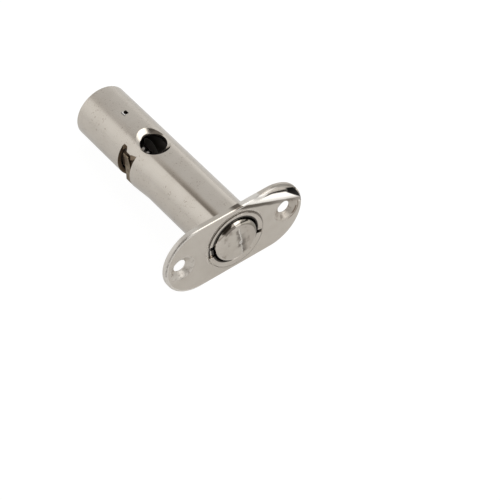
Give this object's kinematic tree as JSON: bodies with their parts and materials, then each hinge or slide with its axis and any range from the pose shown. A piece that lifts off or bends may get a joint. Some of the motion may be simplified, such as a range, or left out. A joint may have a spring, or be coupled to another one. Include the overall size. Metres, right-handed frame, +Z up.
{
  "type": "rack bolt",
  "caption": "Mortice rack bolt for a door's edge: tube casing with a rounded faceplate crimped to it, and a round bolt that a splined key winds out through a side hole.",
  "frame": {"origin": "on the bolt's axis, in the plane of the faceplate's front face", "axes": "+X out of the door along the bolt, +Y along the faceplate's long way, +Z up through the keyhole along the key's axis"},
  "size_m": [0.0619, 0.0436, 0.021],
  "materials": {
    "nickel_case": "steel with bright nickel plate, softly buffed",
    "nickel_bolt": "steel with bright nickel plate, with turning marks on the nose",
    "spring_steel": "spring steel strip with a dull bronze-brown heat tint"
  },
  "bodies": {
    "casing": {"faceplate": "nickel_case", "casing_tube": "nickel_case", "spring_clip": "spring_steel", "rear_plug": "nickel_case"},
    "bolt_slider": {"bolt": "nickel_bolt"}
  },
  "joints": [
    {"name": "bolt_slide", "type": "slide", "parent": "casing", "child": "bolt_slider", "axis": [1, 0, 0], "range_m": [-0.0014, 0.0146]}
  ]
}
